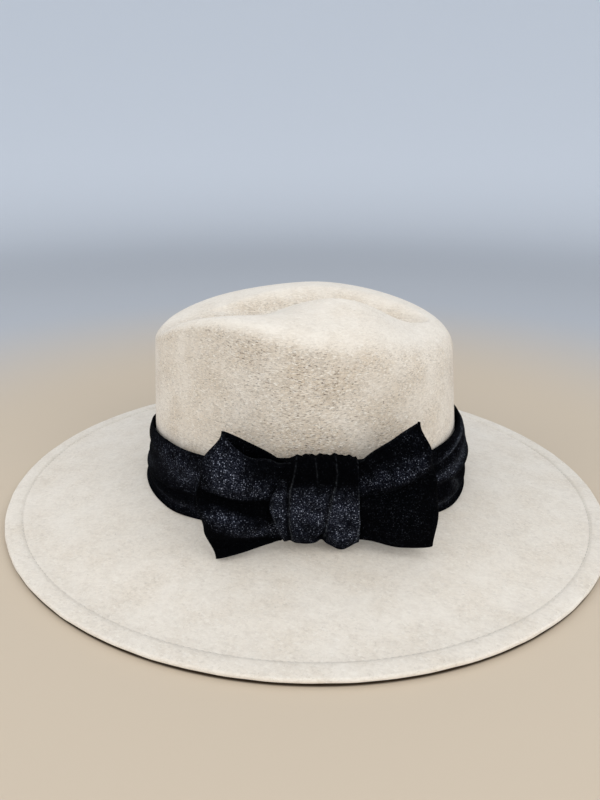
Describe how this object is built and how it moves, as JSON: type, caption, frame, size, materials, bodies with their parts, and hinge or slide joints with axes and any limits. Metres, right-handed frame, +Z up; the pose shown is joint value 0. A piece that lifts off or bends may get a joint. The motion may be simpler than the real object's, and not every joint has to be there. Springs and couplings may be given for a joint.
{
  "type": "fedora hat",
  "caption": "Wide-brimmed wool felt fedora with a teardrop crown, a draped velvet band and a flat velvet bow on the wearer's left.",
  "frame": {"origin": "middle of the brim's oval, on the surface that the hat rests on", "axes": "+X to the back of the hat, -Y to the wearer's left, where the bow is, +Z up"},
  "size_m": [0.37, 0.339, 0.1294],
  "materials": {
    "wool_felt": "matt pressed wool felt, heathered cream with fine grey-brown fibres",
    "black_velvet": "short-pile black velvet with a faint blue sheen and tiny glints"
  },
  "bodies": {
    "root": {"felt_body": "wool_felt", "hat_band": "black_velvet", "bow_left_loop": "black_velvet", "bow_right_loop": "black_velvet", "bow_knot": "black_velvet"}
  },
  "joints": []
}
